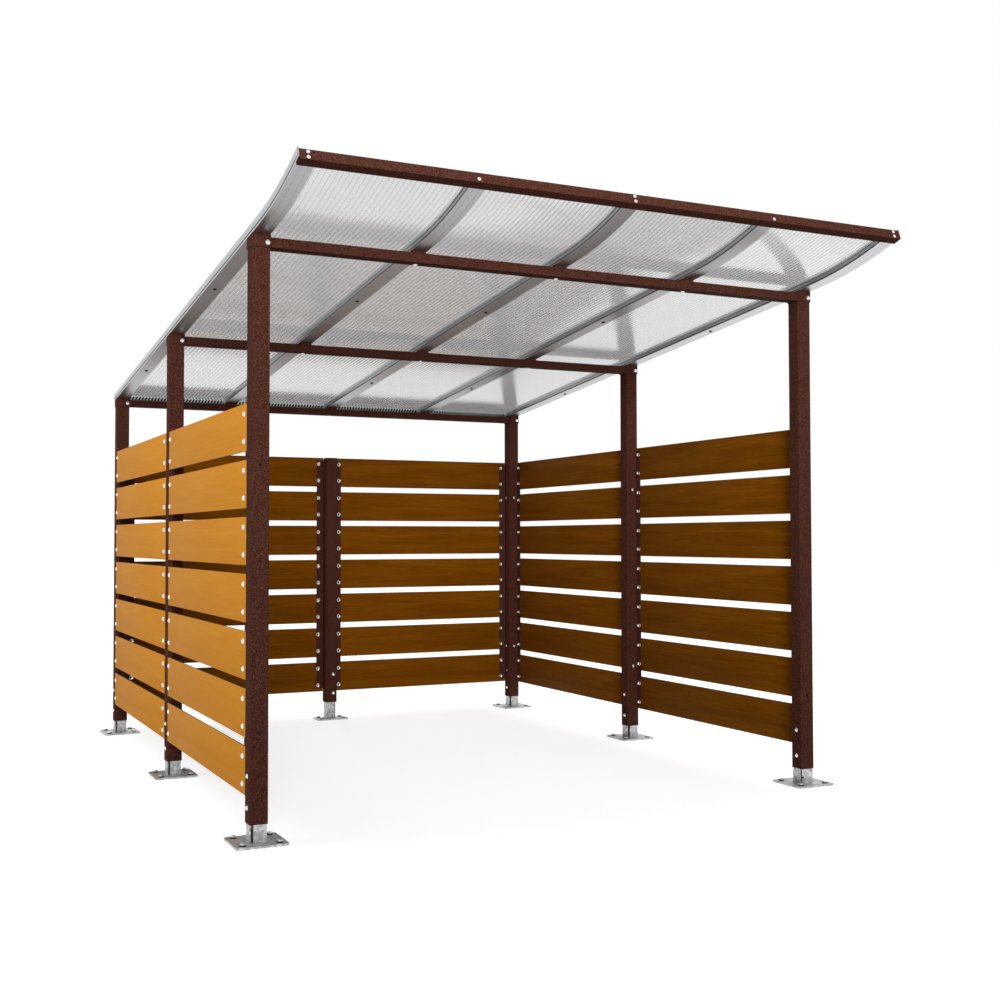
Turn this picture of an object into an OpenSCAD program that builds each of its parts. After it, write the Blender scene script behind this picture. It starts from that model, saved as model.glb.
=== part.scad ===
// Bin shelter: an open frame on square posts with slatted side and back walls
// and a translucent roof that sweeps up over the open front.
// Millimetres, +Z up, ground at Z = 0, open front towards -Y.

/* [Frame] */
// Post centre to post centre across the shelter
post_pitch = 2560; // [1760:20:3360]
// Post pitch from front to back, the same for both bays
bay_depth = 1500; // [1200:10:1800]
// Underside of the roof above the ground at the front face of the front posts
roof_height = 2271; // [2150:1:2500]
// Fall of the roof towards the back, in degrees
roof_slope = 6; // [4:0.5:8]

/* [Posts] */
// Outside width of the square post tube
post_size = 70; // [60:1:90]
// Wall of the post tube
post_wall = 4; // [3:0.5:5]
// Clear height between the ground and the lower end of a post
post_lift = 72; // [50:1:110]
// Extra lift of the short post in the middle of the back wall
short_post_lift = 34; // [0:1:50]
// Height of the sleeve cap on each tall post, at its front
cap_height = 48; // [44:1:70]
// Wall of the sleeve cap
cap_wall = 2; // [1.5:0.5:3]

/* [Feet] */
// Side of the square foot plate
plate_size = 200; // [180:5:260]
// Thickness of the foot plate
plate_thick = 8; // [6:1:14]
// Spacing of the anchor holes, both ways
anchor_spacing = 138; // [130:1:160]
// Anchor hole diameter
anchor_hole = 14; // [11:1:18]
// Thickness of the two stub angles
stub_wall = 5; // [4:0.5:8]
// Length of the stub inside the post
stub_inside = 205; // [190:5:260]
// Depth of the foot plate under the short post
short_plate = 110; // [100:1:130]

/* [Walls] */
// Number of boards in each panel
board_count = 7; // [6:1:7]
// Clear height between the top of the walls and the underside of the rear beam
wall_clear = 268.5; // [200:0.5:400]
// Gap between two boards
board_gap = 32.8; // [15:0.2:34]
// Board thickness
board_thick = 8; // [6:1:12]
// Lower edge of the lowest board above the lower end of the posts
board_low = 97.5; // [80:0.5:120]
// Width of both legs of the board angle
angle_width = 45; // [40:1:50]
// Thickness of the board angle
angle_thick = 3; // [2:0.5:4]

/* [Beams] */
// Depth of a cross beam from front to back
beam_depth = 64; // [50:1:64]
// Height of a cross beam
beam_height = 38; // [30:1:38]
// Wall of the cross beams and of the fascia beam
beam_wall = 3; // [2:0.5:4]
// Side of the square fascia beam along the front edge of the roof
fascia_size = 40; // [34:1:50]
// How far the fascia beam hangs below the underside of the roof bars
fascia_drop = 8; // [0:1:10]

/* [Roof] */
// Width of a roof bar
bar_width = 66; // [56:1:70]
// Height of the hollow lower part of a roof bar
bar_body = 20; // [16:1:26]
// Thickness of the roof sheets
sheet_thick = 16; // [10:1:20]
// Number of hollow cells across a sheet
cell_count = 30; // [15:1:40]
// Thickness of a sheet's upper and lower skin
sheet_skin = 1; // [0.6:0.1:2]
// Thickness of the ribs between the cells
rib_thick = 0.8; // [0.5:0.1:1.5]
// Thickness of the cover strip over the sheets
bar_cover = 4; // [3:0.5:6]
// Start of the upward sweep, ahead of the front posts
sweep_start = 80; // [40:5:120]
// Radius of the upward sweep at the underside of the bars
sweep_radius = 2050; // [1600:50:2600]
// Slope at the front edge of the roof, in degrees
sweep_end = 19.5; // [16:0.5:22]
// How far the roof runs past the back face of the rear posts
rear_overhang = 24; // [10:1:60]

/* [Hidden] */
$fn = 48;

brown = [0.30, 0.18, 0.13];
wood = [0.72, 0.47, 0.17];
zinc = [0.66, 0.67, 0.68];
silver = [0.55, 0.56, 0.56];
clear = [0.88, 0.89, 0.89];

x_post = post_pitch / 2;
x_out = x_post + post_size / 2;
stub_size = post_size - 2 * post_wall;
bar_pitch = post_pitch / 4;
bar_top = bar_body + sheet_thick + bar_cover;
web = 14;
bar_wall = 2.5;
groove_width = 4;
groove_depth = 1.2;
trim_thick = 3;
packer_thin = 2;
packer_edge = 3;
end_play = 2;
board_end = 2;

// Front faces of the three rows of posts, counted back from the front row.
rows = [0, bay_depth, 2 * bay_depth];
y_rear = 2 * bay_depth + post_size;

// Underside of the straight part of the roof at a distance y behind the front row.
function under(y) = roof_height - tan(roof_slope) * y;

// Centre of the upward sweep, level with no solid: it lies above the roof.
sweep_y = -sweep_start + sweep_radius * sin(roof_slope);
sweep_z = under(-sweep_start) + sweep_radius * cos(roof_slope);
tip_y = sweep_y - sweep_radius * sin(sweep_end);
tip_z = sweep_z - sweep_radius * cos(sweep_end);
sweep_turn = sweep_end - roof_slope;
trim_turn = fascia_size / sweep_radius * 180 / PI;

// The model is moved so that its box is centred over the origin.
y_low = tip_y - fascia_drop * sin(sweep_end) - fascia_size * cos(sweep_end);
y_high = max(y_rear + rear_overhang + 8, 2 * bay_depth + post_size / 2 + plate_size / 2);
y_mid = (y_low + y_high) / 2;

straight_run = (y_rear + rear_overhang + sweep_start) / cos(roof_slope);

// Top of a cross beam whose front face lies at a distance y behind the front row.
function beam_top(y) = under(y + beam_depth) - packer_thin;

// The boards share the height between their lowest edge and the clearance under the rear beam.
wall_low = post_lift + board_low;
wall_high = beam_top(rows[2] + end_play) - beam_height - wall_clear;
board_height = (wall_high - wall_low - (board_count - 1) * board_gap) / board_count;

// A square with rounded corners, centred.
module round_square(w, d, r) {
    square([w - 2 * r, d], center = true);
    square([w, d - 2 * r], center = true);
    for (x = [-1, 1])
        for (y = [-1, 1])
            translate([x * (w / 2 - r), y * (d / 2 - r)])
                circle(r);
}

module post_tube(z_low, z_high) {
    translate([0, post_size / 2, z_low])
        linear_extrude(z_high - z_low)
            difference() {
                round_square(post_size, post_size, post_wall);
                square(stub_size, center = true);
            }
}

module tall_post(y) {
    color(brown)
        translate([0, y, 0])
            post_tube(post_lift, under(y + post_size + cap_wall) - 4);
}

// A foot: a plate with four anchor holes and two stub angles that stand in the post.
module foot(depth, back, spacing, slits, top) {
    color(zinc)
        translate([0, post_size / 2, 0]) {
            difference() {
                translate([0, back - depth / 2, 0])
                    linear_extrude(plate_thick)
                        round_square(plate_size, depth, 14);
                for (x = [-1, 1])
                    for (y = [0, 1])
                        translate([x * anchor_spacing / 2, back - depth / 2 + (y - 0.5) * spacing, -1])
                            cylinder(d = anchor_hole, h = plate_thick + 2);
            }
            translate([0, 0, plate_thick])
                linear_extrude(top - plate_thick)
                    difference() {
                        square(stub_size, center = true);
                        square(stub_size - 2 * stub_wall, center = true);
                        for (s = [-1, 1])
                            translate([s * slits * stub_size / 2, s * stub_size / 2])
                                square(24, center = true);
                    }
        }
}

module tall_foot(y) {
    translate([0, y, 0])
        foot(plate_size, plate_size / 2, anchor_spacing, 1, post_lift + stub_inside);
}

// A sleeve cap: closed at the top, which is cut to the fall of the roof.
module cap(y) {
    w = post_size + 2 * cap_wall;
    color(brown)
        difference() {
            translate([0, y, 0])
                rotate([90, 0, 90])
                    linear_extrude(w, center = true)
                        polygon([
                            [-cap_wall, under(y) - cap_height],
                            [post_size + cap_wall, under(y) - cap_height],
                            [post_size + cap_wall, under(y + post_size + cap_wall)],
                            [-cap_wall, under(y - cap_wall)]
                        ]);
            translate([-post_size / 2, y, under(y) - cap_height - 1])
                cube([post_size, post_size, under(y + post_size + cap_wall) - 4 - under(y) + cap_height + 1]);
        }
}

// A cross beam between two caps, with a wedge packer under each inner roof bar.
module cross_beam(y) {
    y0 = y + end_play;
    length = post_pitch - post_size - 2 * cap_wall;
    color(brown)
        translate([0, y0, beam_top(y0)]) {
            translate([-length / 2, 0, -beam_height])
                difference() {
                    cube([length, beam_depth, beam_height]);
                    translate([-1, beam_wall, beam_wall])
                        cube([length + 2, beam_depth - 2 * beam_wall, beam_height - 2 * beam_wall]);
                }
            for (i = [-1, 0, 1])
                translate([i * bar_pitch, 0, 0])
                    packer();
        }
}

// A wedge on top of a cross beam that meets the sloping underside of a roof bar.
module packer() {
    rise = tan(roof_slope);
    rotate([90, 0, 90])
        linear_extrude(bar_width - 2 * packer_edge, center = true)
            polygon([
                [packer_edge, 0],
                [beam_depth - packer_edge, 0],
                [beam_depth - packer_edge, packer_thin + rise * packer_edge],
                [packer_edge, packer_thin + rise * (beam_depth - packer_edge)]
            ]);
}

// A square tube along the front edge, tilted with the end of the roof.
module fascia() {
    length = post_pitch + bar_width;
    color(brown)
        translate([-length / 2, tip_y, tip_z])
            rotate([-sweep_end, 0, 0])
                translate([0, -fascia_size, -fascia_drop])
                    difference() {
                        cube([length, fascia_size, fascia_size]);
                        translate([-1, beam_wall, beam_wall])
                            cube([length + 2, fascia_size - 2 * beam_wall, fascia_size - 2 * beam_wall]);
                    }
}

// The roof's own frame: it starts where the sweep meets the straight part,
// with +Y down the fall of the roof and +Z square to its underside.
module roof_frame() {
    translate([0, -sweep_start, under(-sweep_start)])
        rotate([-roof_slope, 0, 0])
            children();
}

// Carries a cross-section (across, up from the underside) along the straight part.
module straight_run_of() {
    translate([0, straight_run, 0])
        rotate([90, 0, 0])
            linear_extrude(straight_run)
                children();
}

// Carries a cross-section round the sweep, through a turn in degrees.
module swept_run_of(turn) {
    translate([0, 0, sweep_radius])
        rotate([180, 90, 0])
            rotate_extrude(angle = turn, $fn = 180)
                translate([sweep_radius, 0])
                    mirror([1, 1])
                        children();
}

// A roof bar's section: a hollow body, a web that the sheets stand against, and a cover strip.
// The body has two fine grooves below, and a gasket groove on each side that is listed.
module bar_section(gasket_sides) {
    difference() {
        translate([-bar_width / 2, 0])
            square([bar_width, bar_body]);
        translate([-bar_width / 2 + bar_wall, bar_wall])
            square([bar_width - 2 * bar_wall, bar_body - 2 * bar_wall]);
        for (side = [-1, 1])
            translate([side * bar_width / 5 - groove_depth / 2, -1])
                square([groove_depth, 1 + groove_depth]);
        for (side = gasket_sides)
            translate([side * bar_width / 2 - groove_depth, groove_width])
                square([2 * groove_depth, groove_width]);
    }
    translate([-web / 2, bar_body - 1])
        square([web, sheet_thick + 2]);
    translate([-bar_width / 2, bar_body + sheet_thick])
        square([bar_width, bar_cover]);
}

// Closing trim on the outer side of an outer bar: a lip, a gasket groove and a band.
// It stands a little inside the bar's wall and stops just short of its top and bottom.
module trim_section() {
    translate([-bar_width / 2 - trim_thick, 0.5])
        difference() {
            square([trim_thick + 1, bar_top - 1]);
            translate([-1, 7.5])
                square([2.5, 6]);
        }
}

// An outer bar has no sheet on its outer side, so that side is filled.
module outer_section() {
    bar_section([1]);
    translate([-bar_width / 2, bar_body - 1])
        square([bar_width / 2, sheet_thick + 2]);
}

module roof_bar(i) {
    side = [i == 5 ? 1 : 0, 0];
    color(silver)
        translate([(i - 3) * bar_pitch, 0, 0])
            roof_frame()
                if (i == 1 || i == 5) {
                    straight_run_of()
                        mirror(side)
                            outer_section();
                    swept_run_of(sweep_turn)
                        mirror(side)
                            outer_section();
                    straight_run_of()
                        mirror(side)
                            trim_section();
                    swept_run_of(sweep_turn + trim_turn)
                        mirror(side)
                            trim_section();
                } else {
                    straight_run_of()
                        bar_section([-1, 1]);
                    swept_run_of(sweep_turn)
                        bar_section([-1, 1]);
                }
}

// A multiwall sheet's section: two skins with a row of hollow cells between upright ribs.
module sheet_section() {
    width = bar_pitch - web;
    cell_pitch = (width - rib_thick) / cell_count;
    translate([-width / 2, bar_body])
        difference() {
            square([width, sheet_thick]);
            for (i = [0 : cell_count - 1])
                translate([rib_thick + i * cell_pitch, sheet_skin])
                    square([cell_pitch - rib_thick, sheet_thick - 2 * sheet_skin]);
        }
}

module roof_sheet(i) {
    color(clear)
        translate([(i - 2.5) * bar_pitch, 0, 0])
            roof_frame() {
                straight_run_of()
                    sheet_section();
                swept_run_of(sweep_turn)
                    sheet_section();
            }
}

// Upright strips that close the space between the rear beam and the sheets.
module closing_strip() {
    y0 = 2 * bay_depth + end_play;
    z_low = beam_top(y0);
    y = y0 + beam_depth - 14;
    lift = bar_body / cos(roof_slope);
    color(silver)
        for (i = [-1.5, -0.5, 0.5, 1.5])
            translate([i * bar_pitch, 0, 0])
                rotate([90, 0, 90])
                    linear_extrude(bar_pitch - bar_width - ((abs(i) > 1) ? 4 : 0), center = true)
                        polygon([
                            [y, z_low],
                            [y + 3, z_low],
                            [y + 3, under(y + 3) + lift],
                            [y, under(y) + lift]
                        ]);
}

// A panel of boards over a clear width, its outer face at depth 0 and its inner face behind.
module boards(clear_width) {
    color(wood)
        for (i = [0 : board_count - 1])
            translate([board_end, 0, wall_low + i * (board_height + board_gap)])
                cube([clear_width - 2 * board_end, board_thick, board_height]);
}

// The two angles at the ends of a panel: one leg on the post, one behind the boards.
module angle_pair(clear_width) {
    z_low = wall_low + 19;
    z_high = wall_high - 17;
    color(brown)
        for (x = [0, 1])
            translate([x * clear_width, 0, 0])
                mirror([x, 0, 0])
                    translate([0, board_thick, z_low]) {
                        cube([angle_width, angle_thick, z_high - z_low]);
                        cube([angle_thick, angle_width, z_high - z_low]);
                    }
}

// Places a panel: on the left side looking in from outside, and on the back likewise.
module left_bay(row) {
    translate([-x_out, rows[row] + post_size, 0])
        mirror([1, 0, 0])
            rotate([0, 0, 90])
                children();
}

module right_bay(row) {
    mirror([1, 0, 0])
        left_bay(row)
            children();
}

module back_left_bay() {
    translate([-x_post + post_size / 2, y_rear, 0])
        mirror([0, 1, 0])
            children();
}

module back_right_bay() {
    mirror([1, 0, 0])
        back_left_bay()
            children();
}

side_clear = bay_depth - post_size;
back_clear = x_post - post_size;

module left() {
    translate([-x_post, 0, 0])
        children();
}

module right() {
    translate([x_post, 0, 0])
        children();
}

module front_left_post() { left() tall_post(rows[0]); }
module middle_left_post() { left() tall_post(rows[1]); }
module rear_left_post() { left() tall_post(rows[2]); }
module front_right_post() { right() tall_post(rows[0]); }
module middle_right_post() { right() tall_post(rows[1]); }
module rear_right_post() { right() tall_post(rows[2]); }
module back_middle_post() {
    color(brown)
        translate([0, rows[2], 0]) {
            post_tube(post_lift + short_post_lift, wall_high - 6);
            translate([0, post_size / 2, wall_high - 6])
                linear_extrude(4)
                    round_square(post_size, post_size, post_wall);
        }
}

module front_left_foot() { left() tall_foot(rows[0]); }
module middle_left_foot() { left() tall_foot(rows[1]); }
module rear_left_foot() { left() tall_foot(rows[2]); }
module front_right_foot() { right() tall_foot(rows[0]); }
module middle_right_foot() { right() tall_foot(rows[1]); }
module rear_right_foot() { right() tall_foot(rows[2]); }
module back_middle_foot() {
    translate([0, rows[2], 0])
        foot(short_plate, stub_size / 2 + 2, short_plate - 40, -1, post_lift + short_post_lift + stub_inside);
}

module front_left_cap() { left() cap(rows[0]); }
module middle_left_cap() { left() cap(rows[1]); }
module rear_left_cap() { left() cap(rows[2]); }
module front_right_cap() { right() cap(rows[0]); }
module middle_right_cap() { right() cap(rows[1]); }
module rear_right_cap() { right() cap(rows[2]); }

module front_cross_beam() { cross_beam(rows[0]); }
module middle_cross_beam() { cross_beam(rows[1]); }
module rear_cross_beam() { cross_beam(rows[2]); }
module front_fascia() { fascia(); }

module roof_bar_1() { roof_bar(1); }
module roof_bar_2() { roof_bar(2); }
module roof_bar_3() { roof_bar(3); }
module roof_bar_4() { roof_bar(4); }
module roof_bar_5() { roof_bar(5); }
module roof_sheet_1() { roof_sheet(1); }
module roof_sheet_2() { roof_sheet(2); }
module roof_sheet_3() { roof_sheet(3); }
module roof_sheet_4() { roof_sheet(4); }
module rear_closing_strip() { closing_strip(); }

module left_front_boards() { left_bay(0) boards(side_clear); }
module left_rear_boards() { left_bay(1) boards(side_clear); }
module right_front_boards() { right_bay(0) boards(side_clear); }
module right_rear_boards() { right_bay(1) boards(side_clear); }
module back_left_boards() { back_left_bay() boards(back_clear); }
module back_right_boards() { back_right_bay() boards(back_clear); }
module left_front_angles() { left_bay(0) angle_pair(side_clear); }
module left_rear_angles() { left_bay(1) angle_pair(side_clear); }
module right_front_angles() { right_bay(0) angle_pair(side_clear); }
module right_rear_angles() { right_bay(1) angle_pair(side_clear); }
module back_left_angles() { back_left_bay() angle_pair(back_clear); }
module back_right_angles() { back_right_bay() angle_pair(back_clear); }

translate([0, -y_mid, 0]) {
    front_left_post();
    front_right_post();
    middle_left_post();
    middle_right_post();
    rear_left_post();
    rear_right_post();
    back_middle_post();
    front_left_foot();
    front_right_foot();
    middle_left_foot();
    middle_right_foot();
    rear_left_foot();
    rear_right_foot();
    back_middle_foot();
    front_left_cap();
    front_right_cap();
    middle_left_cap();
    middle_right_cap();
    rear_left_cap();
    rear_right_cap();
    front_cross_beam();
    middle_cross_beam();
    rear_cross_beam();
    front_fascia();
    roof_bar_1();
    roof_bar_2();
    roof_bar_3();
    roof_bar_4();
    roof_bar_5();
    roof_sheet_1();
    roof_sheet_2();
    roof_sheet_3();
    roof_sheet_4();
    rear_closing_strip();
    left_front_boards();
    left_rear_boards();
    right_front_boards();
    right_rear_boards();
    back_left_boards();
    back_right_boards();
    left_front_angles();
    left_rear_angles();
    right_front_angles();
    right_rear_angles();
    back_left_angles();
    back_right_angles();
}
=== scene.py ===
# %% [markdown]
# # A bin shelter, dressed for rendering
#
# The shelter is an open frame of square steel posts with slatted walls on three sides and a
# translucent roof that sweeps up over the open front. The frame loaded here already holds every
# post, beam and bar at its real place and size, in metres. This lesson adds what the eye needs
# on top of it: finishes, rounded boards, ribbed roof sheets, gaskets, bolts and plugs.

# %% Load the frame
import math

import bmesh
import bpy
import numpy as np
from mathutils import Matrix, Vector


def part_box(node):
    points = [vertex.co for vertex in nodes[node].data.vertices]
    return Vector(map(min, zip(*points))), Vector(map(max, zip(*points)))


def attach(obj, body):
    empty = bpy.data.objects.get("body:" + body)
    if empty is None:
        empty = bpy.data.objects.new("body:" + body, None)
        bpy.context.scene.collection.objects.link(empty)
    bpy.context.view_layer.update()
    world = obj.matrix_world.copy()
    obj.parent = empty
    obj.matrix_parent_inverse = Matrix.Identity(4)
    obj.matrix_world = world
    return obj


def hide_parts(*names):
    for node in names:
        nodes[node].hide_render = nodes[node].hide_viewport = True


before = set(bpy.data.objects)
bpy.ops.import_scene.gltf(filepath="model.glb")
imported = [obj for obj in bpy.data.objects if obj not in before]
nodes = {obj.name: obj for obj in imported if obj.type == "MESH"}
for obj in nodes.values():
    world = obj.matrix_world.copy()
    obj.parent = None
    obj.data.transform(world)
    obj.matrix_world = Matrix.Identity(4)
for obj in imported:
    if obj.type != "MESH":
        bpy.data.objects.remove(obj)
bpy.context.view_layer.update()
MM = 0.001

# %% [markdown]
# ## The camera
#
# The picture was taken from about the height of a person's chest, to the left of the open
# front. A camera could be aimed by eye, but the lines of posts and boards are long, and an error
# of half a degree shows. So the place, the turn and the lens were worked out from the corners of
# the frame, and are written here as plain numbers.

# %% Set the camera
CAMERA_PLACE = Vector((-2.547, -5.9044, 1.1262))
CAMERA_TURN = math.radians(26.01)
CAMERA_LIFT = math.radians(1.759)
CAMERA_ROLL = math.radians(-0.088)
CAMERA_LENS = 45.641
CAMERA_SENSOR = 36.0

camera = bpy.data.objects.new("camera", bpy.data.cameras.new("camera"))
camera.data.lens = CAMERA_LENS
camera.data.sensor_width = CAMERA_SENSOR
camera.matrix_world = (
    Matrix.Translation(CAMERA_PLACE)
    @ Matrix.Rotation(-CAMERA_TURN, 4, "Z")
    @ Matrix.Rotation(math.pi / 2 + CAMERA_LIFT, 4, "X")
    @ Matrix.Rotation(CAMERA_ROLL, 4, "Z")
)
bpy.context.scene.collection.objects.link(camera)
bpy.context.scene.camera = camera
print("camera at", list(CAMERA_PLACE), "lens", CAMERA_LENS)

# %% [markdown]
# ## Small helpers for node trees
#
# A finish is a tree of nodes. Colours are chosen as the hex codes that a picture editor shows,
# and those have to become linear light before they mean anything to the renderer. One helper
# does that, and one adds a node: its settings, and for each input a number or another node's
# output. A third tells rays that look at something from rays that only light it.

# %% Helpers for node trees
def linear(code):
    """Linear RGBA of an sRGB hex code: each channel is divided by 12.92 near black, and otherwise
    shifted, scaled and raised to the power 2.4."""
    channels = [int(code[i:i + 2], 16) / 255 for i in (1, 3, 5)]
    return [c / 12.92 if c <= 0.04045 else ((c + 0.055) / 1.055) ** 2.4 for c in channels] + [1.0]


def add(tree, kind, settings, inputs):
    """Adds one node with its settings, and sets or links each of its inputs."""
    made = tree.nodes.new("ShaderNode" + kind)
    for name, value in settings.items():
        setattr(made, name, value)
    for name, value in inputs.items():
        if isinstance(value, bpy.types.NodeSocket):
            tree.links.new(value, made.inputs[name])
        else:
            made.inputs[name].default_value = value
    return made


def seen_directly(tree):
    """A factor that is 1 for rays from the eye, off a glossy surface or through a clear one."""
    path = add(tree, "LightPath", {}, {})
    eye = path.outputs["Is Camera Ray"]
    gloss = path.outputs["Is Glossy Ray"]
    glass = path.outputs["Is Transmission Ray"]
    either = add(tree, "Math", {"operation": "MAXIMUM"}, {0: eye, 1: gloss})
    return add(tree, "Math", {"operation": "MAXIMUM"}, {0: either.outputs[0], 1: glass}).outputs[0]


# %% [markdown]
# ## The floor and the white surround
#
# The shelter stands on white in the picture. A white floor alone would throw so much light
# upwards that the undersides of the beams would go pale. So the floor is white only where it is
# looked at, directly or in a reflection, and a plain grey where it lights the object. It still
# darkens under the shelter, because part of its white comes from the lamps, and farther out, where
# the lamps hardly reach, it glows a little more.

# %% Floor and surround
FLOOR_HALF = 40.0
GLOW_FROM = 4.0
GLOW_TO = 12.0
GLOW_NEAR = 0.62
GLOW_FAR = 0.9
WHITE = "#ffffff"
WORLD_LIGHT = 0.34

floor_mesh = bpy.data.meshes.new("floor")
floor_corners = np.array([[-1, -1, 0], [1, -1, 0], [1, 1, 0], [-1, 1, 0]]) * FLOOR_HALF
floor_mesh.from_pydata(floor_corners.tolist(), [], [[0, 1, 2, 3]])
floor = bpy.data.objects.new("floor", floor_mesh)
bpy.context.scene.collection.objects.link(floor)

floor_paint = bpy.data.materials.new("white studio floor")
floor_paint.use_nodes = True
tree = floor_paint.node_tree
tree.nodes.clear()
place = add(tree, "TexCoord", {}, {})
away = add(tree, "VectorMath", {"operation": "LENGTH"}, {0: place.outputs["Object"]})
level = add(tree, "MapRange", {}, {
    "Value": away.outputs["Value"], "From Min": GLOW_FROM, "From Max": GLOW_TO,
    "To Min": GLOW_NEAR, "To Max": GLOW_FAR})
pale = add(tree, "BsdfDiffuse", {}, {"Color": linear("#e0e0e0")})
glow = add(tree, "Emission", {}, {"Color": linear(WHITE), "Strength": level.outputs["Result"]})
shown = add(tree, "AddShader", {}, {0: pale.outputs[0], 1: glow.outputs[0]})
dull = add(tree, "BsdfDiffuse", {}, {"Color": linear("#949494")})
floor_mix = add(tree, "MixShader", {}, {
    0: seen_directly(tree), 1: dull.outputs[0], 2: shown.outputs[0]})
add(tree, "OutputMaterial", {}, {"Surface": floor_mix.outputs[0]})
floor_mesh.materials.append(floor_paint)

world = bpy.data.worlds.new("white surround")
world.use_nodes = True
tree = world.node_tree
tree.nodes.clear()
lit = add(tree, "Background", {}, {"Color": linear(WHITE), "Strength": WORLD_LIGHT})
plain = add(tree, "Background", {}, {"Color": linear(WHITE), "Strength": 1.0})
world_mix = add(tree, "MixShader", {}, {
    0: seen_directly(tree), 1: lit.outputs[0], 2: plain.outputs[0]})
add(tree, "OutputWorld", {}, {"Surface": world_mix.outputs[0]})
bpy.context.scene.world = world
bpy.context.scene.view_settings.view_transform = "Standard"
print("floor half side", FLOOR_HALF, "m")

# %% [markdown]
# ## The lamps
#
# Large area lamps give the soft studio light of a product picture: the main one in front, aimed
# above the eaves so that the posts fade towards the ground, and weaker ones on both sides, behind
# and above. A lamp's watts follow from the level wanted at its distance: a white card at distance
# d in front of a lamp of P watts shows a level of P / (pi d)^2, and more where its spread is
# narrow. The lamps only light the object. Mirrored in the roof or seen through it, they would burn
# out.

# %% Lamps
def soft_lamp(name, place, target, size, level, spread):
    """A square area lamp that gives the stated level on a card facing it at the target. Its light
    fades to the sides within the spread, in degrees. With half of that spread a, the same watts
    are brighter on the axis by 1 / (1 - a / tan a)."""
    lamp = bpy.data.objects.new(name, bpy.data.lights.new(name, "AREA"))
    away = Vector(target) - Vector(place)
    lamp.data.shape = "SQUARE"
    lamp.data.size = size
    half = math.radians(spread / 2)
    lamp.data.spread = 2 * half
    lamp.data.energy = level * (math.pi * away.length) ** 2 * (1 - half / math.tan(half))
    aim = away.to_track_quat("-Z", "Y").to_matrix().to_4x4()
    lamp.matrix_world = Matrix.Translation(place) @ aim
    lamp.visible_camera = False
    lamp.visible_glossy = False
    lamp.visible_transmission = False
    bpy.context.scene.collection.objects.link(lamp)
    print(name, round(lamp.data.energy), "W")


soft_lamp("front lamp", (-3.2, -10.0, 3.6), (0.2, -1.0, 3.4), 3.4, 1.65, 60)
soft_lamp("left lamp", (-6.0, 1.0, 3.2), (-1.3, 0.8, 0.9), 2.5, 0.34, 175)
soft_lamp("right lamp", (6.0, 1.0, 3.2), (1.3, 0.8, 0.9), 2.5, 0.4, 175)
soft_lamp("back lamp", (0.0, 9.0, 1.3), (0.0, 1.8, 1.0), 1.8, 0.5, 52)
soft_lamp("top lamp", (1.2, -1.0, 7.0), (0.6, -0.6, 2.2), 4.0, 0.42, 175)

# %% [markdown]
# ## Brown powder coat
#
# The posts, caps, beams and angles are galvanised steel under a baked polyester powder coat
# with a fine texture. The powder melts into tiny bumps, so the coat is matt with a soft sheen,
# and it shows as a grainy, slightly speckled brown. The true texture is under a millimetre,
# finer than a pixel from here, so it is drawn a few millimetres wide.
#
# All finishes share a few steps, so these come first: starting a material, filling a colour ramp,
# and letting a pattern set the colour or the roughness.

# %% Brown powder coat
def start_material(name):
    """A new material with one Principled shader, its tree and the object coordinates."""
    material = bpy.data.materials.new(name)
    material.use_nodes = True
    tree = material.node_tree
    tree.nodes.clear()
    shader = add(tree, "BsdfPrincipled", {}, {})
    add(tree, "OutputMaterial", {}, {"Surface": shader.outputs["BSDF"]})
    coordinates = add(tree, "TexCoord", {}, {})
    return material, tree, shader, coordinates


def set_ramp(ramp, stops):
    """Gives a colour ramp its stops: pairs of a position and a hex colour."""
    elements = ramp.color_ramp.elements
    while len(elements) < len(stops):
        elements.new(0.5)
    for element, (position, code) in zip(elements, stops):
        element.position = position
        element.color = linear(code)


def colour_by(tree, shader, pattern, stops):
    """Colours a shader by a ramp over a pattern."""
    tone = add(tree, "ValToRGB", {}, {"Fac": pattern})
    set_ramp(tone, stops)
    tree.links.new(tone.outputs["Color"], shader.inputs["Base Color"])


def roughen_by(tree, shader, pattern, low, high):
    """Lets a pattern move a shader's roughness from one value to another."""
    gloss = add(tree, "MapRange", {}, {"Value": pattern, "To Min": low, "To Max": high})
    tree.links.new(gloss.outputs["Result"], shader.inputs["Roughness"])


COAT_SPECK = 4.5 * MM
COAT_BUMP = 3 * MM
COAT_DEPTH = 0.4 * MM

coat, tree, shader, coordinates = start_material("fine textured brown powder coat")
speck = add(tree, "TexNoise", {}, {
    "Vector": coordinates.outputs["Object"], "Scale": 1 / COAT_SPECK, "Detail": 4.0,
    "Roughness": 0.75}).outputs["Fac"]
grain = add(tree, "TexNoise", {}, {
    "Vector": coordinates.outputs["Object"], "Scale": 1 / COAT_BUMP, "Detail": 2.0}).outputs["Fac"]
relief = add(tree, "Bump", {}, {"Height": grain, "Strength": 0.35, "Distance": COAT_DEPTH})
colour_by(tree, shader, speck, [(0.34, "#2b1510"), (0.52, "#4b2a21"), (0.7, "#775043")])
roughen_by(tree, shader, speck, 0.8, 0.65)
tree.links.new(relief.outputs["Normal"], shader.inputs["Normal"])
shader.inputs["Specular IOR Level"].default_value = 0.02
print("made", coat.name)

# %% [markdown]
# ## Wood-grained boards
#
# The boards are thin compact laminate: resin-bonded paper pressed hard, with a printed oak grain
# on both faces. The outer print is golden, the inner one a dark nut brown: that darker inner print
# is painted shade, for the shade that falls inside the shelter. The cut edges show the dark core.
# Grain could be drawn with a wave texture, but that repeats too evenly. Stretched noise does
# better: the boards carry a UV map in metres, along and up the board, and three layers of noise
# are pulled out along the grain.

# %% Wood-grained laminate
FIGURE = (900 * MM, 70 * MM)
STREAK = (320 * MM, 9 * MM)
FIBRE = (60 * MM, 3 * MM)
FIBRE_DEPTH = 0.3 * MM


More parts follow.
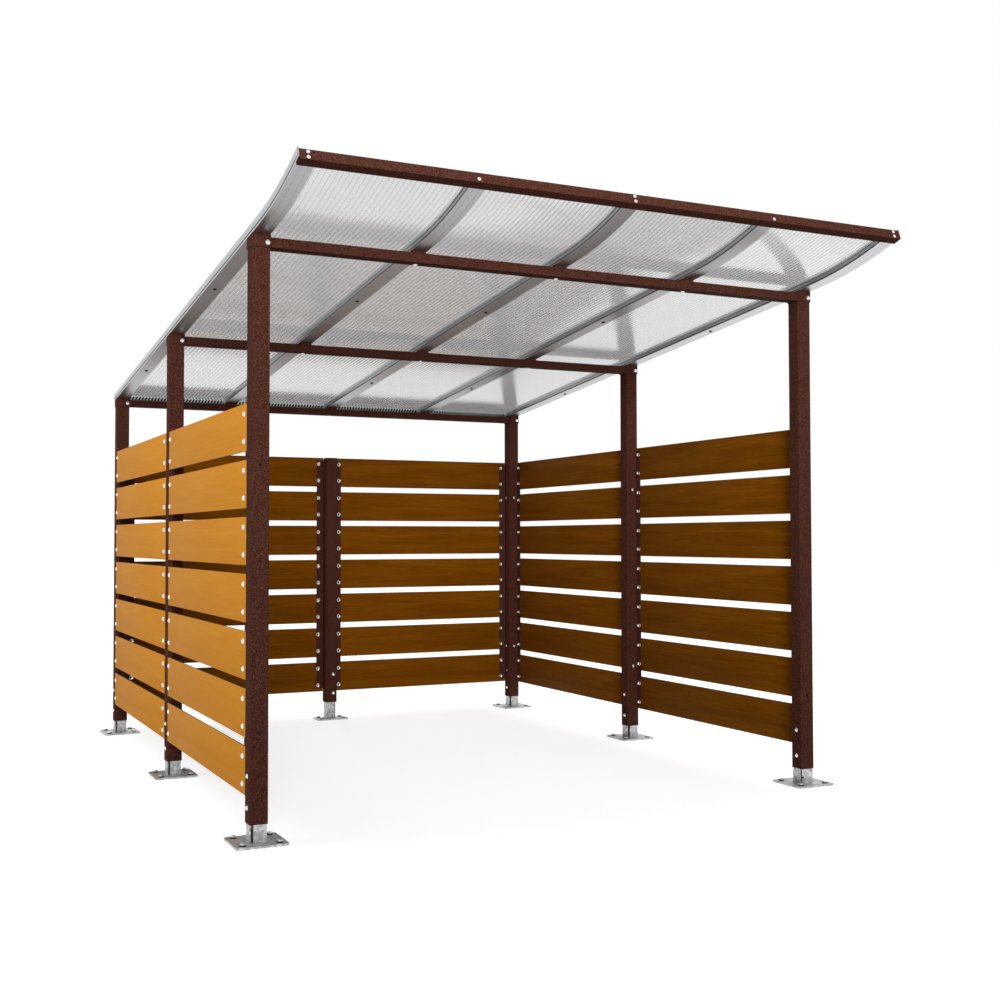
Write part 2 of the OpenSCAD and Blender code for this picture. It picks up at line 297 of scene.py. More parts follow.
def grain_layer(tree, coordinates, size, detail, twist):
    """Noise pulled out along the board: size is the length and the width of one feature."""
    pulled = add(tree, "Mapping", {}, {
        "Vector": coordinates.outputs["UV"], "Scale": (1 / size[0], 1 / size[1], 1.0)})
    return add(tree, "TexNoise", {}, {
        "Vector": pulled.outputs["Vector"], "Scale": 1.0, "Detail": detail, "Roughness": 0.6,
        "Distortion": twist}).outputs["Fac"]


def laminate(name, stops, fibre_share, roughness, sheen):
    """Printed laminate: figure, streaks and fibres are mixed and then coloured by one ramp."""
    material, tree, shader, coordinates = start_material(name)
    figure = grain_layer(tree, coordinates, FIGURE, 3.0, 0.8)
    streak = grain_layer(tree, coordinates, STREAK, 5.0, 0.3)
    fibre = grain_layer(tree, coordinates, FIBRE, 2.0, 0.0)
    broad = add(tree, "Mix", {"data_type": "FLOAT"}, {"Factor": 0.5, "A": figure, "B": streak})
    mixed = add(tree, "Mix", {"data_type": "FLOAT"}, {
        "Factor": fibre_share, "A": broad.outputs["Result"], "B": fibre})
    relief = add(tree, "Bump", {}, {"Height": fibre, "Strength": 0.15, "Distance": FIBRE_DEPTH})
    colour_by(tree, shader, mixed.outputs["Result"], stops)
    roughen_by(tree, shader, streak, roughness - 0.06, roughness + 0.06)
    tree.links.new(relief.outputs["Normal"], shader.inputs["Normal"])
    shader.inputs["Specular IOR Level"].default_value = sheen
    print("made", name)
    return material


golden_oak = laminate(
    "golden oak laminate", [(0.3, "#dc8e28"), (0.5, "#e59831"), (0.7, "#eca23b")], 0.25, 0.55, 0.02)
# The inner print is darker than the outer one as painted shade for the inside of the shelter.
inner_oak_painted_shade = laminate(
    "inner oak laminate with painted shade", [(0.32, "#5c3200"), (0.5, "#764305"), (0.68, "#8d530e")], 0.25, 0.55, 0.04)

# %% [markdown]
# ## The laminate's core
#
# Where a laminate board is cut, the brown paper core shows as a dark, dull line along each edge.

# %% Laminate core
CORE_LAYER = 3 * MM

core, tree, shader, coordinates = start_material("dark laminate core")
layers = add(tree, "TexNoise", {}, {
    "Vector": coordinates.outputs["Object"], "Scale": 1 / CORE_LAYER, "Detail": 3.0})
colour_by(tree, shader, layers.outputs["Fac"], [(0.35, "#241404"), (0.65, "#3a230b")])
shader.inputs["Roughness"].default_value = 0.7
print("made", core.name)

# %% [markdown]
# ## Galvanised steel
#
# The feet were dipped in molten zinc, which freezes into crystals: flat patches of slightly
# different greys, up to a centimetre or so across. A Voronoi texture gives each patch its own
# grey and its own shine.

# %% Galvanised steel
SPANGLE = 11 * MM

zinc, tree, shader, coordinates = start_material("hot dip galvanised steel")
crystals = add(tree, "TexVoronoi", {}, {
    "Vector": coordinates.outputs["Object"], "Scale": 1 / SPANGLE, "Randomness": 1.0})
patch = add(tree, "SeparateColor", {}, {"Color": crystals.outputs["Color"]})
colour_by(
    tree, shader, patch.outputs["Red"], [(0.1, "#a3a5a6"), (0.5, "#babcbc"), (0.9, "#d3d4d3")])
roughen_by(tree, shader, patch.outputs["Green"], 0.38, 0.6)
shader.inputs["Metallic"].default_value = 1.0
print("made", zinc.name)

# %% [markdown]
# ## Extruded aluminium
#
# The roof bars and the closing strip are aluminium pressed through a die and left as it came.
# The die leaves faint lines along the bar, so the metal shines softly across it. The lines are
# finer than a pixel and are drawn a few millimetres apart.

# %% Extruded aluminium
DIE_LINE = 4 * MM
DIE_LENGTH = 1500 * MM

bare, tree, shader, coordinates = start_material("extruded aluminium")
pulled = add(tree, "Mapping", {}, {
    "Vector": coordinates.outputs["Object"],
    "Scale": (1 / DIE_LINE, 1 / DIE_LENGTH, 1 / DIE_LINE)})
lines = add(tree, "TexNoise", {}, {"Vector": pulled.outputs["Vector"], "Scale": 1.0, "Detail": 3.0})
colour_by(tree, shader, lines.outputs["Fac"], [(0.3, "#b0b2b3"), (0.7, "#c0c2c3")])
roughen_by(tree, shader, lines.outputs["Fac"], 0.3, 0.36)
shader.inputs["Metallic"].default_value = 1.0
print("made", bare.name)

# %% [markdown]
# ## Multiwall sheet
#
# The roof is opal polycarbonate: two thin skins with upright ribs between them. It lets light
# through, blurs what is behind it, and its smooth skins mirror the posts at a flat angle. Plain
# transparency would lose that mirror, so the skins bend and reflect light as the plastic does,
# with a little opal white mixed in, and the ribs between them are real but only faintly seen.

# %% Multiwall sheet
CLOUD = 260 * MM
PLASTIC_IOR = 1.58
SKIN_IOR = 1.6


def polycarbonate(name, pale, deep, clear, gloss_layer, alpha):
    """Glossy opal plastic with a faint cloudiness: clear is the share of light that it passes,
    and the gloss layer is the hard skin against sunlight that is pressed on outside."""
    material, tree, shader, coordinates = start_material(name)
    cloud = add(tree, "TexNoise", {}, {
        "Vector": coordinates.outputs["Object"], "Scale": 1 / CLOUD, "Detail": 2.0})
    colour_by(tree, shader, cloud.outputs["Fac"], [(0.3, deep), (0.7, pale)])
    roughen_by(tree, shader, cloud.outputs["Fac"], 0.10, 0.16)
    shader.inputs["IOR"].default_value = PLASTIC_IOR
    shader.inputs["Transmission Weight"].default_value = clear
    shader.inputs["Coat Weight"].default_value = gloss_layer
    shader.inputs["Coat Roughness"].default_value = 0.04
    shader.inputs["Coat IOR"].default_value = SKIN_IOR
    shader.inputs["Alpha"].default_value = alpha
    print("made", name)
    return material


opal_skin = polycarbonate("opal polycarbonate skin", "#f4f5f5", "#ecedee", 0.86, 0.2, 1.0)
opal_rib = polycarbonate("opal polycarbonate rib", "#c4c7c8", "#b8bcbd", 0.0, 0.0, 0.2)

# %% [markdown]
# ## Rubber and stainless steel
#
# Two small finishes are left. The gaskets and plugs are black rubber, dull with a little bloom.
# The bolts are stainless steel, bright and smooth, and slightly mottled from handling.

# %% Rubber and stainless steel
BLOOM = 12 * MM
HANDLING = 9 * MM


def small_finish(name, size, stops, roughness, metallic, shine):
    """A plain finish with a soft mottle: size is the width of one patch."""
    material, tree, shader, coordinates = start_material(name)
    patch = add(tree, "TexNoise", {}, {
        "Vector": coordinates.outputs["Object"], "Scale": 1 / size, "Detail": 2.0})
    colour_by(tree, shader, patch.outputs["Fac"], stops)
    roughen_by(tree, shader, patch.outputs["Fac"], roughness * 0.8, roughness * 1.2)
    shader.inputs["Metallic"].default_value = metallic
    shader.inputs["Specular IOR Level"].default_value = shine
    print("made", name)
    return material


rubber = small_finish(
    "black rubber", BLOOM, [(0.3, "#0d0d0d"), (0.7, "#1b1b1b")], 0.6, 0.0, 0.1)
stainless = small_finish(
    "polished stainless steel", HANDLING, [(0.3, "#ececea"), (0.7, "#fafaf8")], 0.26, 1.0, 0.5)

# %% [markdown]
# ## Dress the loaded frame
#
# Most of the frame is right as it is: posts, caps, beams, angles, feet and roof bars only need
# their finish. It is chosen by the piece's own name.

# %% Dress the loaded frame
FINISH_BY_WORD = {"foot": zinc, "roof_bar": bare, "closing_strip": bare}

for name, node in nodes.items():
    finish = coat
    for word, material in FINISH_BY_WORD.items():
        if word in name:
            finish = material
    if not node.material_slots:
        node.data.materials.append(finish)
    for slot in node.material_slots:
        slot.material = finish
print("dressed", len(nodes), "pieces")

# %% [markdown]
# ## How a new piece is put together
#
# Every new shape below is worked out as arrays of points. One helper gives the four-sided faces
# between neighbouring points of a grid, one closes such grids to tubes, one puts several shapes
# into one, and one makes the finished object, which rides with the frame and has its faces turned
# outwards.

# %% Put a piece together
X_AXIS = np.array([1.0, 0.0, 0.0])
Z_AXIS = np.array([0.0, 0.0, 1.0])


def grid_faces(rows, columns):
    """Quads between neighbouring points of a grid whose rows close on themselves."""
    i = np.arange(rows - 1)[:, None]
    j = np.arange(columns)[None, :]
    k = (j + 1) % columns
    corners = [i * columns + j, i * columns + k, (i + 1) * columns + k, (i + 1) * columns + j]
    return np.stack(corners, -1).reshape(-1, 4)


def closed_tubes(points):
    """Points and faces of closed tubes from an array of (tube, ring, point on ring, xyz): quads
    join the rings, and one face closes each end."""
    tubes, rings, around = points.shape[:3]
    first = np.arange(tubes)[:, None] * rings * around
    sides = (first[:, :, None] + grid_faces(rings, around)[None]).reshape(-1, 4)
    start = first + np.arange(around)[None]
    ends = np.concatenate([start, start + (rings - 1) * around])
    return points.reshape(-1, 3), sides.tolist() + ends.tolist()


def together(*shapes):
    """Several (points, faces) shapes as one."""
    points = np.concatenate([shape[0] for shape in shapes])
    faces = []
    first = 0
    for shape in shapes:
        faces += [[corner + first for corner in face] for face in shape[1]]
        first += len(shape[0])
    return points, faces


def make_piece(name, shape, materials, finishes=None, uv=None, sharp=35):
    """A finished object from points and faces, with a finish for each face and a UV pair for each
    point where they are given. Edges sharper than the stated angle stay crisp."""
    mesh = bpy.data.meshes.new(name)
    mesh.from_pydata(shape[0].tolist(), [], shape[1])
    work = bmesh.new()
    work.from_mesh(mesh)
    bmesh.ops.recalc_face_normals(work, faces=work.faces)
    work.to_mesh(mesh)
    work.free()
    for material in materials:
        mesh.materials.append(material)
    if finishes is not None:
        mesh.polygons.foreach_set("material_index", np.asarray(finishes, np.int32))
    if uv is not None:
        corner = np.zeros(len(mesh.loops), np.int32)
        mesh.loops.foreach_get("vertex_index", corner)
        layer = mesh.uv_layers.new(name="along the board")
        layer.data.foreach_set("uv", uv[corner].astype(np.float32).ravel())
    mesh.polygons.foreach_set("use_smooth", np.ones(len(mesh.polygons), bool))
    mesh.set_sharp_from_angle(angle=math.radians(sharp))
    mesh.update()
    piece = bpy.data.objects.new(name, mesh)
    bpy.context.scene.collection.objects.link(piece)
    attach(piece, "root")
    print(name, len(shape[0]), "points", len(shape[1]), "faces")
    return piece


# %% [markdown]
# ## The boards
#
# A panel is seven boards, one above the other with gaps between them. A real board has its edges
# and ends eased with sandpaper, and that small rounding catches the light. A box with a Bevel
# modifier would do, but the faces need three finishes and a UV map along the board. So each board
# is a rounded section carried along its length, and drawn in a little at both ends. The map is
# shifted from board to board and from panel to panel, so that no two show the same grain.

# %% Boards
BOARDS = 7
BOARD_GAP = 32.8 * MM
BOARD_EASE = 1.6 * MM
EASE_STEPS = 4
END_ANGLES = np.radians([20, 55, 90])
GRAIN_SHIFT = 1.37
PANEL_SHIFT = 0.31

OUTSIDE = {
    "left_front_boards": (-1, 0), "left_rear_boards": (-1, 0),
    "right_front_boards": (1, 0), "right_rear_boards": (1, 0),
    "back_left_boards": (0, 1), "back_right_boards": (0, 1),
}


def panel_frame(name):
    """Where a panel of boards lies: its outward direction, the direction along it, its start on
    the outer face at the ground, its length, its thickness and the heights it spans."""
    low, high = (np.array(corner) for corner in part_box(name))
    out = np.array([*OUTSIDE[name], 0.0])
    along = np.array([abs(out[1]), abs(out[0]), 0.0])
    start = np.where(out > 0, high, low) * np.array([1, 1, 0])
    length = float((high - low) @ along)
    thick = float((high - low) @ np.abs(out))
    return out, along, start, length, thick, float(low[2]), float(high[2])


def board_height(low, high):
    """Height of one board, from the heights that its panel spans."""
    return (high - low - (BOARDS - 1) * BOARD_GAP) / BOARDS


def board_points(length, thick, height):
    """Rounded board as (station, point round the section, (along, depth, up)): a section point is
    a corner of the inner rectangle plus the easing radius in a direction that turns through a full
    circle, and near each end that radius shrinks with the sine of the end angle."""
    quarter = np.linspace(0, math.pi / 2, EASE_STEPS)
    turn = (np.arange(4)[:, None] * math.pi / 2 + quarter[None]).ravel()
    deep = np.repeat([1, 0, 0, 1], EASE_STEPS) * (thick - 2 * BOARD_EASE) + BOARD_EASE
    tall = np.repeat([1, 1, 0, 0], EASE_STEPS) * (height - 2 * BOARD_EASE) + BOARD_EASE
    swell = np.concatenate([END_ANGLES, END_ANGLES[::-1]])
    inset = BOARD_EASE * (1 - np.cos(END_ANGLES))
    stations = np.concatenate([inset, length - inset[::-1]])
    radius = BOARD_EASE * np.sin(swell)[:, None]
    depth = deep[None] + radius * np.cos(turn)[None]
    up = tall[None] + radius * np.sin(turn)[None]
    return np.stack([np.broadcast_to(stations[:, None], up.shape), depth, up], -1)


def board_finishes(around, stations):
    """0 on the outer face and its easing, 1 on the inner face, and 2 on edges and ends."""
    side = np.full(around, 2)
    side[EASE_STEPS:3 * EASE_STEPS - 1] = 0
    side[4 * EASE_STEPS - 1] = 1
    return np.tile(side, stations - 1)


for name in OUTSIDE:
    out, along, start, length, thick, low, high = panel_frame(name)
    height = board_height(low, high)
    one = board_points(length, thick, height)
    stations, around = one.shape[:2]
    lift = low + np.arange(BOARDS) * (height + BOARD_GAP)
    local = np.broadcast_to(one, (BOARDS, *one.shape)).copy()
    local[..., 2] += lift[:, None, None]
    placed = start + local[..., :1] * along - local[..., 1:2] * out + local[..., 2:] * Z_AXIS
    shift = np.arange(BOARDS)[:, None, None] * GRAIN_SHIFT + len(name) * PANEL_SHIFT
    grain_uv = np.stack([local[..., 0] + shift, local[..., 2]], -1).reshape(-1, 2)
    shape = closed_tubes(placed)
    long_faces = np.tile(board_finishes(around, stations), BOARDS)
    finishes = np.concatenate([long_faces, np.full(2 * BOARDS, 2)])
    panel = make_piece(
        name.replace("boards", "planks"), shape,
        [golden_oak, inner_oak_painted_shade, core], finishes, grain_uv)
    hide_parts(name)

# %% [markdown]
# ## The line of the roof
#
# Seen from the side, the underside of the roof falls straight to the back, and ahead of the front
# posts it turns up on a large arc. Everything on the roof follows that one line, so it is worked
# out once: points, and at each point the direction square to the roof. A section carried along
# it then needs only two numbers per corner: across the roof, and up from the underside. The line
# stops a little short of the bars' rear ends, because upright sections lean back with the slope.

# %% The line of the roof
ROOF_HEIGHT = 2271 * MM
ROOF_SLOPE = math.radians(6)
SWEEP_START = 80 * MM
SWEEP_RADIUS = 2050 * MM
SWEEP_END = math.radians(19.5)
SWEEP_STEPS = 24
REAR_INSET = 9 * MM

front_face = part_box("front_left_post")[0].y
bar_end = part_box("roof_bar_3")[1].y


def roof_line(rear_y):
    """Points on the underside of the roof bars and the upward normals there, from the front tip
    to a given place at the back. A normal at slope a is (0, sin a, cos a). On the arc a point is
    the arc's centre less the radius times the normal; behind it the line is straight."""
    slope = np.linspace(SWEEP_END, ROOF_SLOPE, SWEEP_STEPS + 1)
    slope = np.append(slope, ROOF_SLOPE)
    normal = np.stack([0 * slope, np.sin(slope), np.cos(slope)], -1)
    joint_z = ROOF_HEIGHT + SWEEP_START * math.tan(ROOF_SLOPE)
    joint = np.array([0, front_face - SWEEP_START, joint_z])
    centre = joint + SWEEP_RADIUS * normal[-1]
    line = centre - SWEEP_RADIUS * normal
    run = (rear_y - joint[1]) / math.cos(ROOF_SLOPE)
    line[-1] = joint + run * np.array([0, math.cos(ROOF_SLOPE), -math.sin(ROOF_SLOPE)])
    return line, normal


def carried(sections, line, normal):
    """Closed sections carried along a line: each point is the line's point plus its across value
    along X and its up value along the normal. Sections are (section, point, (across, up))."""
    across = sections[:, None, :, :1] * X_AXIS
    up = sections[:, None, :, 1:] * normal[None, :, None, :]
    return closed_tubes(line[None, :, None, :] + across + up)


line, normal = roof_line(bar_end - REAR_INSET)
print("roof line from", line[0].round(3), "to", line[-1].round(3))

# %% [markdown]
# ## The roof sheets
#
# A multiwall sheet is never quite flat: the skin shrinks a little where a rib meets it, so each
# cell bulges by a few tenths of a millimetre. That is what breaks the mirrored posts into
# stripes. Each skin is a row of shallow parabolas, carried along the roof line, and the ribs are
# thin upright walls between the skins.

# %% Roof sheets
BAYS = 4
BAR_PITCH = 640 * MM
BAR_BODY = 20 * MM
SHEET_THICK = 16 * MM
BAR_WEB = 14 * MM
CELLS = 30
CELL_SINK = 0.35 * MM
CELL_POINTS = 6
RIB_THICK = 0.8 * MM
RIB_CLEAR = 1 * MM
SHEET_PLAY = 0.5 * MM

bay_x = (np.arange(BAYS) - (BAYS - 1) / 2) * BAR_PITCH
bar_x = (np.arange(BAYS + 1) - BAYS / 2) * BAR_PITCH
sheet_half = (BAR_PITCH - BAR_WEB) / 2 - SHEET_PLAY
across = np.linspace(-sheet_half, sheet_half, CELLS * CELL_POINTS + 1)
in_cell = (np.arange(len(across)) % CELL_POINTS) / CELL_POINTS * 2 - 1
sink = CELL_SINK * in_cell ** 2
under_skin = np.stack([across, BAR_BODY + sink], -1)
upper_skin = np.stack([across, BAR_BODY + SHEET_THICK - sink], -1)[::-1]
skin_section = np.concatenate([under_skin, upper_skin])[None]

rib_across = across[::CELL_POINTS][1:-1, None] + np.array([-1, 1, 1, -1]) * RIB_THICK / 2
rib_ends = np.array([RIB_CLEAR, SHEET_THICK - RIB_CLEAR])
rib_up = BAR_BODY + rib_ends[[0, 0, 1, 1]]
rib_sections = np.stack([rib_across, np.broadcast_to(rib_up, rib_across.shape)], -1)

for number, x in enumerate(bay_x, 1):
    skins = carried(skin_section, line + x * X_AXIS, normal)
    ribs = carried(rib_sections, line + x * X_AXIS, normal)
    finishes = np.repeat([0, 1], [len(skins[1]), len(ribs[1])])
    sheet = make_piece(
        f"multiwall_sheet_{number}", together(skins, ribs),
        [opal_skin, opal_rib], finishes, sharp=60)
    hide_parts(f"roof_sheet_{number}")

# %% [markdown]
# ## Gaskets along the roof bars
#
# Each bar holds its sheets on black rubber gaskets, which show as thin dark lines along its sides.
# They are small strips in the bar's grooves, carried along the same roof line. The outermost two
# sit in the edge trims.

# %% Gaskets
BAR_HALF = 33 * MM
GROOVE = 4 * MM
GROOVE_DEPTH = 1.2 * MM
PROUD = 0.2 * MM
TRIM = 3 * MM
TRIM_GROOVE = (8 * MM, 14 * MM)
TRIM_DEPTH = 1.5 * MM


def strip_section(near, far, low, high):
    """The four corners of an upright strip: across from near to far, and up from low to high."""
    return np.array([[near, low], [far, low], [far, high], [near, high]])


gasket_sections = []
for x in bar_x:
    for side in (-1, 1):
        near = x + side * (BAR_HALF - GROOVE_DEPTH)
        far = x + side * (BAR_HALF + PROUD)
        heights = (GROOVE, 2 * GROOVE)
        if side * x == bar_x[-1]:
            near = x + side * (BAR_HALF + TRIM - TRIM_DEPTH)
            far = x + side * (BAR_HALF + TRIM)
            heights = TRIM_GROOVE
        gasket_sections.append(strip_section(near, far, *heights))
gaskets = carried(np.array(gasket_sections), line, normal)
make_piece("roof_bar_gaskets", gaskets, [rubber])

# %% [markdown]
# ## The comb at the back
#
# Where the sheets end over the rear beam, a black comb stands in front of the closing strip and
# shows as the dark sawtooth line along the back of the roof: one leaning tooth for each cell of the
# sheet, on a thin base. Every tooth is a small rectangle carried upwards and sideways, and all of
# them are worked out at once.

# %% Comb at the back
TOOTH_WIDE = 10 * MM
TOOTH_DEEP = 3 * MM
TOOTH_TALL = 15 * MM
TOOTH_LEAN = 7 * MM
COMB_BASE = 2 * MM

comb_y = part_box("rear_closing_strip")[0].y
comb_top = ROOF_HEIGHT - (comb_y - front_face) * math.tan(ROOF_SLOPE) + BAR_BODY
comb_half = BAR_PITCH / 2 - BAR_HALF
share = (np.arange(CELLS) + 0.5) / CELLS
tooth_x = bay_x[:, None] + share * 2 * (comb_half - TOOTH_LEAN) - comb_half
square_x = np.array([-0.5, 0.5, 0.5, -0.5])
square_y = comb_y - TOOTH_DEEP * np.array([1, 1, 0, 0])
ring = np.array([0.0, 1.0])
teeth = np.empty((BAYS * CELLS, 2, 4, 3))
teeth[..., 0] = tooth_x.reshape(-1, 1, 1) + (ring * TOOTH_LEAN)[:, None] + square_x * TOOTH_WIDE
teeth[..., 1] = square_y
teeth[..., 2] = (comb_top - (1 - ring) * TOOTH_TALL)[:, None]
bases = np.empty((BAYS, 2, 4, 3))
bases[..., 0] = bay_x[:, None, None] + square_x * 2 * comb_half
bases[..., 1] = square_y
bases[..., 2] = (comb_top - TOOTH_TALL - (1 - ring) * COMB_BASE)[:, None]
comb = together(closed_tubes(teeth), closed_tubes(bases))
make_piece("rear_comb", comb, [rubber])

# %% [markdown]
# ## Bolts
#
# Hundreds of small bolts hold the shelter together, and their bright heads are much of its look.
# One turned shape serves for all of them: a profile of radius and height spun round an axis, and
# set at many places at once. Outside is a low button head, inside a domed nut on a washer. The
# heads stay coarse, with twelve sides, because there are so many.

# %% Bolts on the boards
BOLT_SIDES = 12
HEAD = np.array([[1.0, 0.0], [1.0, 0.16], [0.86, 0.3], [0.8, 0.62], [0.55, 0.9], [0.22, 1.0]])
BOARD_BOLT = (11 * MM, 7 * MM)
DOME_NUT = np.array([
    [12, 0], [12, 1.6], [10, 1.9], [10, 8], [9.2, 11.4], [6.8, 14.6], [2.8, 16.2]]) * MM
BOLT_FROM_END = 30 * MM
BOLT_FROM_EDGE = 39 * MM
FLANGE_DEPTH = 11 * MM


def turned(profile, sides, centres, outward):
    """A profile of (radius, height) spun round an axis at each centre. A point is the centre plus
    radius times cosine and sine of the angle along two directions square to the axis, plus height
    along the axis."""
    centres = np.asarray(centres, float).reshape(-1, 3)
    axis = np.broadcast_to(np.asarray(outward, float), centres.shape)
    helper = np.where(np.abs(axis[:, 2:]) > 0.9, X_AXIS, Z_AXIS)
    first = np.cross(helper, axis)
    first = first / np.linalg.norm(first, axis=1, keepdims=True)
    second = np.cross(axis, first)
    angle = np.arange(sides) / sides * 2 * math.pi
    radius = profile[None, :, None, :1]
    ring = (np.cos(angle)[None, None, :, None] * first[:, None, None, :]
            + np.sin(angle)[None, None, :, None] * second[:, None, None, :])
    rise = profile[None, :, None, 1:] * axis[:, None, None, :]
    return closed_tubes(centres[:, None, None, :] + radius * ring + rise)


def panel_bolts(name):
    """Centres of the bolts of one panel on its outer face: two at each end of every board."""
    _, along, start, length, _, low, high = panel_frame(name)
    height = board_height(low, high)
    from_start = np.array([BOLT_FROM_END, length - BOLT_FROM_END])
    board = low + np.arange(BOARDS)[:, None] * (height + BOARD_GAP)
    up = (board + np.array([BOLT_FROM_EDGE, height - BOLT_FROM_EDGE])).ravel()
    a, z = np.meshgrid(from_start, up, indexing="ij")
    return start + a.reshape(-1, 1) * along + z.reshape(-1, 1) * Z_AXIS


board_heads = []
for name in OUTSIDE:
    out = np.array([*OUTSIDE[name], 0.0])
    centres = panel_bolts(name)
    board_heads.append(turned(HEAD * BOARD_BOLT, BOLT_SIDES, centres, out))
    board_heads.append(turned(DOME_NUT, BOLT_SIDES, centres - out * FLANGE_DEPTH, -out))
make_piece("board_bolts", together(*board_heads), [stainless])

# %% [markdown]
# ## Bolts on the frame
#
# Smaller bolts go through the angles into the posts, through the posts into the feet, through
# each cap into its beam, and through the fascia and the beams into the roof bars. Their places
# are measured from the pieces that they hold.

# %% Bolts on the frame
FRAME_BOLT = (9.5 * MM, 6 * MM)
ANGLE_HEIGHTS = (409 * MM, 1404 * MM)
ANGLE_THICK = 3 * MM
POST_SIZE = 70 * MM
ANGLE_MIDDLE = 32 * MM
BOARD_END = 2 * MM
FOOT_HEIGHTS = (58 * MM, 175 * MM)
CAP_BOLT = (13 * MM, 30 * MM)
SHORT_POST_OFFSET = 12 * MM
ROWS = ("front", "middle", "rear")

frame_centres = []
frame_outward = []


def place_bolt(centre, outward):
    """Notes one bolt's seat and the direction that its head points in."""
    frame_centres.append(list(centre))
    frame_outward.append(list(outward))


for name in OUTSIDE:
    out, along, start, length = panel_frame(name)[:4]
    seat = ANGLE_THICK - BOARD_END
    for place, toward in ((seat, along), (length - seat, -along)):
        at = start + place * along - ANGLE_MIDDLE * out
        at_short_post = abs(at[0]) <= POST_SIZE
        if not at_short_post:
            for z in ANGLE_HEIGHTS:
                place_bolt(at + z * Z_AXIS, toward)

tall_posts = [f"{row}_{side}" for row in ROWS for side in ("left", "right")]
for name in tall_posts:
    low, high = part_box(name + "_post")
    cap_low, cap_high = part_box(name + "_cap")
    middle_y = (low.y + high.y) / 2
    for z in FOOT_HEIGHTS:
        place_bolt((low.x, middle_y, low.z + z), (-1, 0, 0))
        place_bolt((high.x, middle_y, low.z + z), (1, 0, 0))
    place_bolt((cap_high.x - CAP_BOLT[0], cap_low.y, cap_high.z - CAP_BOLT[1]), (0, -1, 0))

low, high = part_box("back_middle_post")
for z in FOOT_HEIGHTS:
    place_bolt(((low.x + high.x) / 2 + SHORT_POST_OFFSET, low.y, low.z + z), (0, -1, 0))
print("bolts noted:", len(frame_centres))

# %% [markdown]
# ## Painted shadow under the caps
#
# A thin black band goes round the top of each post, just under its cap, where the post meets the
# sleeve over it. It is painted shadow: it stands in for the shade in that joint, and shows as the
# dark line round the top of the post. Each band is a square plate, and its corners are picked from
# the post's own box.

# %% Painted shadow under the caps
SHADOW_BAND_TALL = 2.5 * MM
SHADOW_BAND_PROUD = 0.8 * MM

post_low = np.array([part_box(name + "_post")[0] for name in tall_posts])[:, None, :2]
post_high = np.array([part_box(name + "_post")[1] for name in tall_posts])[:, None, :2]
cap_edge = np.array([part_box(name + "_cap")[0].z for name in tall_posts])[:, None, None]
take_high = np.array([[0, 0], [1, 0], [1, 1], [0, 1]], bool)
shadow_bands = np.empty((len(tall_posts), 2, 4, 3))
shadow_bands[..., :2] = np.where(take_high, post_high + SHADOW_BAND_PROUD, post_low - SHADOW_BAND_PROUD)[:, None]
shadow_bands[..., 2] = cap_edge - SHADOW_BAND_TALL * np.array([1, 0])[:, None]
# A black band under each cap: painted shadow in the joint.
make_piece("cap_painted_shadow", closed_tubes(shadow_bands), [rubber])

# %% [markdown]
# ## Bolts along the roof
#
# The fascia is tilted with the end of the roof. Its bolts sit on the sloping front face: pairs at
# both ends and in the middle, single ones between. Each cross beam has a bolt below every inner
# bar, and each bar a screw with a black cap half way between the beams.

# %% Bolts along the roof
FASCIA = 40 * MM
FASCIA_PAIR = (2 * MM, 23 * MM)
FASCIA_SINGLE = (6 * MM,)
FASCIA_PLACES = np.array([-1281, -652, 0, 652, 1281]) * MM
FASCIA_BOLT = (7 * MM, 2.4 * MM)
BAR_SCREW = (9 * MM, 5 * MM)
BEAM_BOLT_BACK = 44 * MM
SCREW_PLACES = (735 * MM, 2285 * MM)

tip = line[0]
forward = np.array([0, -math.cos(SWEEP_END), math.sin(SWEEP_END)])
fascia_centres = []
for number, x in enumerate(FASCIA_PLACES):
    rises = FASCIA_SINGLE if number in (1, 3) else FASCIA_PAIR
    for rise in rises:
        fascia_centres.append(tip + x * X_AXIS + FASCIA * forward + rise * normal[0])

for row in ROWS:
    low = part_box(row + "_cross_beam")[0]
    for x in bar_x[1:-1]:
        place_bolt((x, low.y + BEAM_BOLT_BACK, low.z), (0, 0, -1))

screw_centres = []
for x in bar_x:
    for back in SCREW_PLACES:
        z = ROOF_HEIGHT - back * math.tan(ROOF_SLOPE)
        screw_centres.append([x, front_face + back, z])
screws = turned(HEAD * BAR_SCREW, BOLT_SIDES, screw_centres, -normal[-1])
make_piece("bar_screws", screws, [rubber])

frame_heads = together(
    turned(HEAD * FRAME_BOLT, BOLT_SIDES, frame_centres, frame_outward),
    turned(HEAD * FASCIA_BOLT, BOLT_SIDES, fascia_centres, forward))
make_piece("frame_bolts", frame_heads, [stainless])
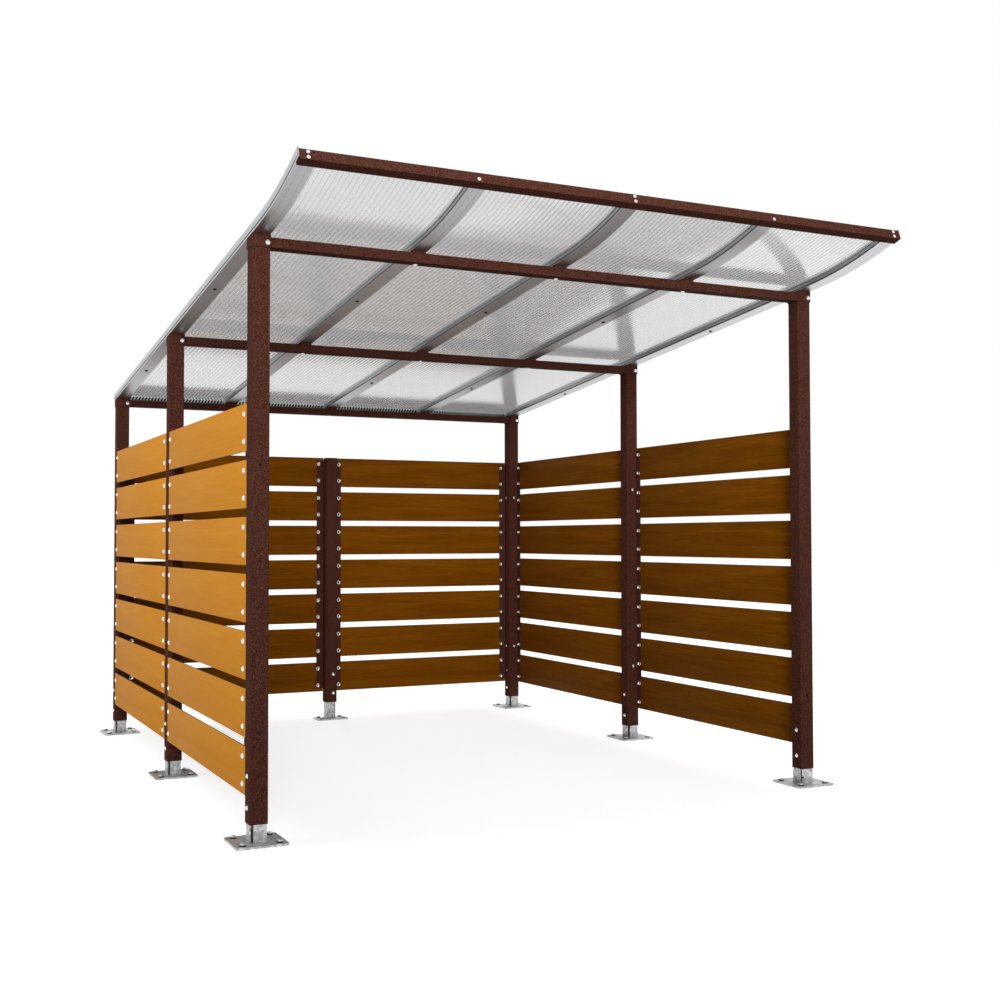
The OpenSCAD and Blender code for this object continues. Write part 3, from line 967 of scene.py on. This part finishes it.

# %% [markdown]
# ## Anchors in the feet
#
# Each foot plate is held down by four screw anchors with a low hexagon head on a black sealing
# washer. The washer reaches a little past the head, so that its dark rim shows as a thin ring round
# it: part real washer, part painted shadow at the foot of each head. The same turning helper makes
# them, with six sides for the head.

# %% Anchors
ANCHOR_SPACING = 138 * MM
SHORT_SPACING = 70 * MM
PLATE_THICK = 8 * MM
WASHER_AND_SHADOW_RIM = np.array([[13, 0], [13, 2], [12.4, 2.5], [8, 2.5]]) * MM
WASHER_SIDES = 16
HEXAGON = np.array([[10.4, 0], [11, 0.8], [11, 6.6], [9.4, 7.6], [5, 7.8]]) * MM
HEXAGON_SIDES = 6
PLATE_CORNERS = np.array([[-1, -1], [1, -1], [1, 1], [-1, 1]])

anchor_seats = []
for name in [post + "_foot" for post in tall_posts] + ["back_middle_foot"]:
    low, high = (np.array(corner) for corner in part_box(name))
    middle = (low + high) / 2
    spacing_y = SHORT_SPACING if name == "back_middle_foot" else ANCHOR_SPACING
    spread = PLATE_CORNERS * [ANCHOR_SPACING / 2, spacing_y / 2]
    flat = np.full((len(spread), 1), low[2] + PLATE_THICK)
    anchor_seats.append(np.concatenate([middle[:2] + spread, flat], 1))
anchor_seats = np.concatenate(anchor_seats)
on_washer = anchor_seats + WASHER_AND_SHADOW_RIM[-1, 1] * Z_AXIS
# The black rim round each anchor head is partly painted shadow.
washers = turned(WASHER_AND_SHADOW_RIM, WASHER_SIDES, anchor_seats, Z_AXIS)
make_piece("anchor_washers_and_shadow_rims", washers, [rubber])
anchors = turned(HEXAGON, HEXAGON_SIDES, on_washer, Z_AXIS)
make_piece("foot_anchors", anchors, [stainless])

# %% [markdown]
# ## Plugs in the unused holes
#
# The posts are drilled on more faces than are used, so that a wall can go on either side. Small
# black plugs close the spare holes, and one more sits in the front beam.

# %% Plugs
PLUG = np.array([[5.2, 0], [5.0, 0.5], [3.4, 0.8], [1.2, 0.8]]) * MM
BEAM_PLUG = (229 * MM, 15 * MM)
INWARD = {
    "front_left_post": 1, "front_right_post": -1,
    "middle_left_post": 1, "middle_right_post": -1,
}

plug_centres = []
plug_outward = []
for name, face in INWARD.items():
    low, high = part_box(name)
    middle = (low + high) / 2
    side_x = high.x if face > 0 else low.x
    for z in ANGLE_HEIGHTS:
        if name.startswith("front"):
            plug_centres.append([middle.x, low.y, z])
            plug_outward.append([0, -1, 0])
        plug_centres.append([side_x, middle.y, z])
        plug_outward.append([face, 0, 0])
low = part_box("front_cross_beam")[0]
plug_centres.append([BEAM_PLUG[0], low.y, low.z + BEAM_PLUG[1]])
plug_outward.append([0, -1, 0])
plugs = turned(PLUG, BOLT_SIDES, plug_centres, plug_outward)
make_piece("hole_plugs", plugs, [rubber])
